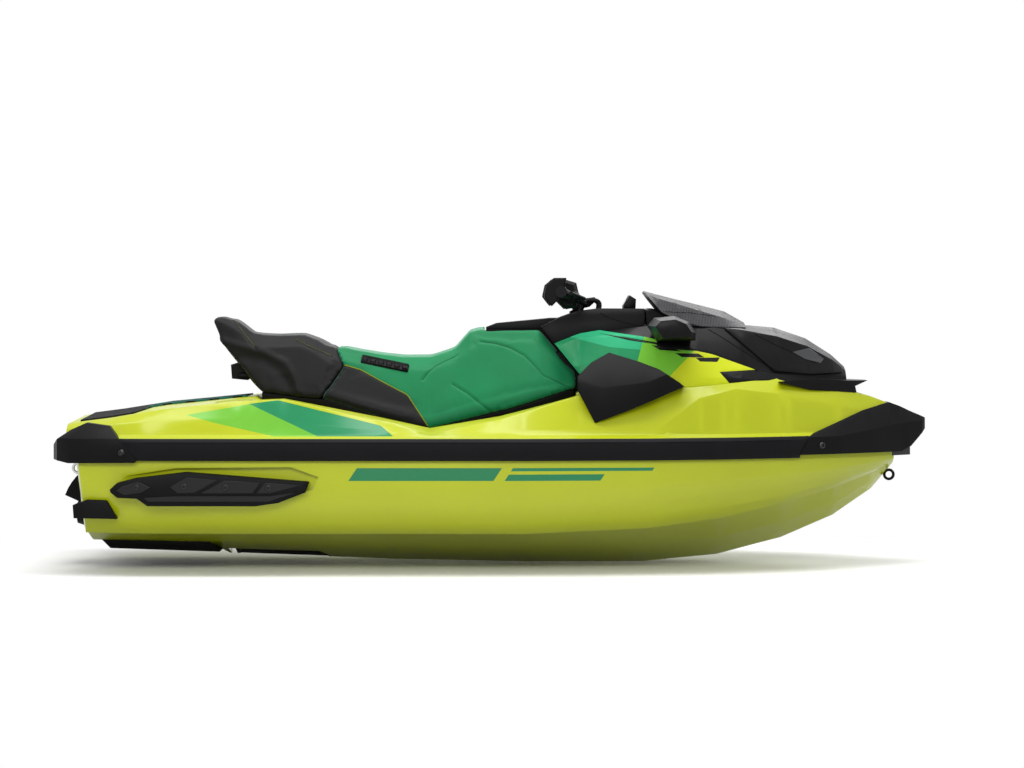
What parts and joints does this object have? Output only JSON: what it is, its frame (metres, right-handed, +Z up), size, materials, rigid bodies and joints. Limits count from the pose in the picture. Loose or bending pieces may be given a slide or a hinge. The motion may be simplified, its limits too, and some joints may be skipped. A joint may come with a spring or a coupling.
{
  "type": "personal watercraft",
  "caption": "Sit-on personal watercraft with V hull, jet pump, steering nozzle, reversing bucket, lifting seat, front hood and glove box lid.",
  "frame": {"origin": "on the centre plane, amidships, at the height of the waterline: the mount named waterline", "axes": "+X to the bow, +Y to port, +Z up"},
  "size_m": [3.322, 1.256, 1.0938],
  "materials": {
    "hull_gloss": "gloss lime-yellow gelcoat",
    "deck_gloss": "gloss lime-yellow gelcoat with green bands",
    "trim_black": "satin black moulding",
    "rubber_black": "black rubber strip",
    "mat_foam": "grooved foam mat",
    "seat_green": "green and black marine vinyl",
    "seat_black": "black marine vinyl",
    "fairing_teal": "gloss teal running into green and lime",
    "screen_dark": "dark tinted, woven look",
    "metal_cast": "cast aluminium",
    "metal_bright": "polished stainless steel",
    "engine_grey": "plain grey casting"
  },
  "bodies": {
    "craft": {"hull": "hull_gloss", "deck": "deck_gloss", "rail_port": "rubber_black", "rail_starboard": "rubber_black", "bow_bumper": "trim_black", "stern_bumper_starboard": "trim_black", "stern_bumper_port": "trim_black", "sponson_starboard": "trim_black", "sponson_port": "trim_black", "corner_guard_starboard": "trim_black", "corner_guard_port": "trim_black", "ride_plate": "metal_cast", "intake_grate": "metal_cast", "pump_housing": "metal_cast", "engine_block": "engine_grey", "traction_mats": "mat_foam", "glove_box": "trim_black", "front_body": "trim_black", "storage_bin": "trim_black", "console_fairing_starboard": "fairing_teal", "console_fairing_port": "fairing_teal", "knee_pod_starboard": "trim_black", "knee_pod_port": "trim_black", "steering_cover": "trim_black", "display": "trim_black", "bow_eye": "metal_bright", "stern_eyes": "metal_bright", "bow_blade": "trim_black"},
    "impeller": {"impeller": "metal_bright"},
    "nozzle": {"steering_nozzle": "trim_black"},
    "bucket": {"reverse_bucket": "trim_black"},
    "seat": {"rider_seat": "seat_green", "passenger_seat": "seat_black", "seat_pan": "trim_black", "grab_handle": "trim_black"},
    "box_lid": {"glovebox_lid": "trim_black"},
    "hood": {"hood": "trim_black", "windshield": "screen_dark", "mirror_starboard": "trim_black", "mirror_port": "trim_black"},
    "bars": {"handlebar": "trim_black", "grip_starboard": "rubber_black", "grip_port": "rubber_black", "lever_starboard": "trim_black", "lever_port": "trim_black"}
  },
  "joints": [
    {"name": "steering", "type": "hinge", "parent": "craft", "child": "bars", "pos_m": [0.306, 0, 0.69], "axis": [-0.4695, 0, 0.8829], "range_deg": [-25, 25]},
    {"name": "nozzle_steer", "type": "hinge", "parent": "craft", "child": "nozzle", "pos_m": [-1.533, 0, -0.075], "axis": [0, 0, 1], "range_deg": [-20, 20]},
    {"name": "reverse_bucket_swing", "type": "hinge", "parent": "craft", "child": "bucket", "pos_m": [-1.46, 0, -0.075], "axis": [0, -1, 0], "range_deg": [0, 64]},
    {"name": "impeller_spin", "type": "hinge", "parent": "craft", "child": "impeller", "pos_m": [-1.215, 0, -0.075], "axis": [1, 0, 0], "continuous": true},
    {"name": "hood_lift", "type": "hinge", "parent": "craft", "child": "hood", "pos_m": [1.352, 0, 0.463], "axis": [0, 1, 0], "range_deg": [0, 50]},
    {"name": "box_lid_lift", "type": "hinge", "parent": "craft", "child": "box_lid", "pos_m": [0.246, 0, 0.652], "axis": [0, 1, 0], "range_deg": [0, 55]},
    {"name": "seat_lift", "type": "slide", "parent": "craft", "child": "seat", "axis": [-0.7071, 0, 0.7071], "range_m": [0, 0.25]}
  ],
  "couplings": [
    {"joint": "nozzle_steer", "follows": "steering", "ratio": -0.8}
  ]
}
